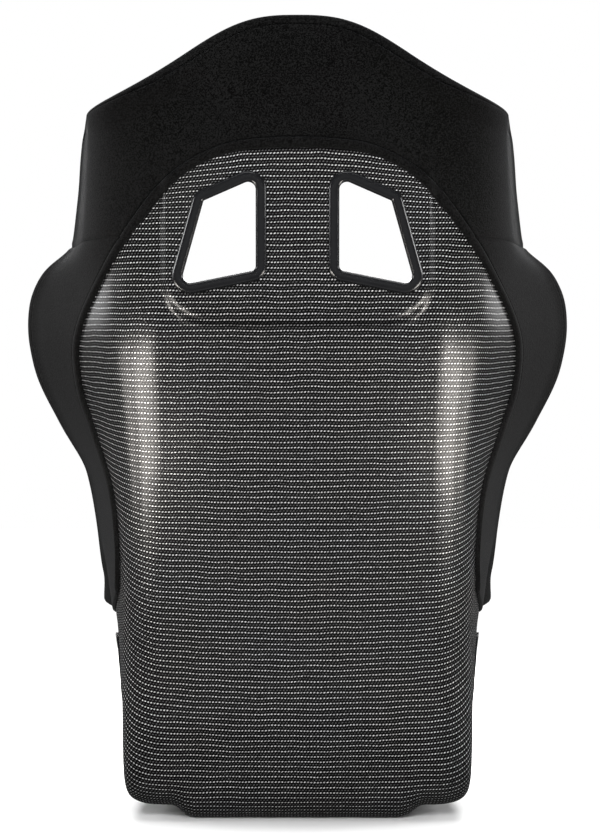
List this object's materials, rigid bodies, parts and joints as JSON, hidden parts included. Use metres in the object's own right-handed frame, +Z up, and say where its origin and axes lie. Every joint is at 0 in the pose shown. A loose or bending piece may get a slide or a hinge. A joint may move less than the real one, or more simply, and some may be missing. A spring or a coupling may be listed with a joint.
{
  "type": "racing seat",
  "caption": "Racing bucket seat: carbon-fibre shell with head and shoulder wings, fabric edge covers, framed belt slots, fixed bolsters and pull-off cushions.",
  "frame": {"origin": "centre of the seat's box, at the floor that the keel stands on", "axes": "+Z up; the seat faces -Y; +X is the occupant's left"},
  "size_m": [0.6264, 0.6208, 0.891],
  "materials": {
    "carbon": "woven carbon fibre under clear gloss lacquer",
    "fabric": "black woven fabric over foam",
    "plastic": "dark grey, satin",
    "rubber": "black, matte",
    "aluminium": "plain sheet",
    "steel": "zinc plated",
    "hook_tape": "black hook-and-loop tape"
  },
  "bodies": {
    "seat": {"shell": "carbon", "head_cover": "fabric", "headrest_pad": "fabric", "shoulder_cover_left": "fabric", "head_wing_pad_left": "fabric", "torso_bolster_left": "fabric", "thigh_bolster_left": "fabric", "edge_trim_left": "rubber", "shoulder_bezel_rear_left": "plastic", "shoulder_bezel_front_left": "plastic", "lap_bezel_outer_left": "plastic", "lap_bezel_inner_left": "plastic", "mount_plate_left": "aluminium", "mount_insert_rear_left": "steel", "mount_insert_front_left": "steel", "shoulder_cover_right": "fabric", "head_wing_pad_right": "fabric", "torso_bolster_right": "fabric", "thigh_bolster_right": "fabric", "edge_trim_right": "rubber", "shoulder_bezel_rear_right": "plastic", "shoulder_bezel_front_right": "plastic", "lap_bezel_outer_right": "plastic", "lap_bezel_inner_right": "plastic", "mount_plate_right": "aluminium", "mount_insert_rear_right": "steel", "mount_insert_front_right": "steel", "crotch_bezel_lower": "plastic", "crotch_bezel_upper": "plastic", "back_hook_strip_lower": "hook_tape", "back_hook_strip_upper": "hook_tape", "seat_hook_strip_left": "hook_tape", "seat_hook_strip_right": "hook_tape"},
    "back_pad": {"back_cushion": "fabric", "back_loop_strip_lower": "hook_tape", "back_loop_strip_upper": "hook_tape"},
    "seat_pad": {"seat_cushion": "fabric", "seat_loop_strip_left": "hook_tape", "seat_loop_strip_right": "hook_tape"}
  },
  "joints": [
    {"name": "back_cushion_pull", "type": "slide", "parent": "seat", "child": "back_pad", "axis": [0, -0.866, 0.5], "range_m": [0, 0.15]},
    {"name": "seat_cushion_lift", "type": "slide", "parent": "seat", "child": "seat_pad", "axis": [0, -0.5446, 0.8387], "range_m": [0, 0.3]}
  ]
}
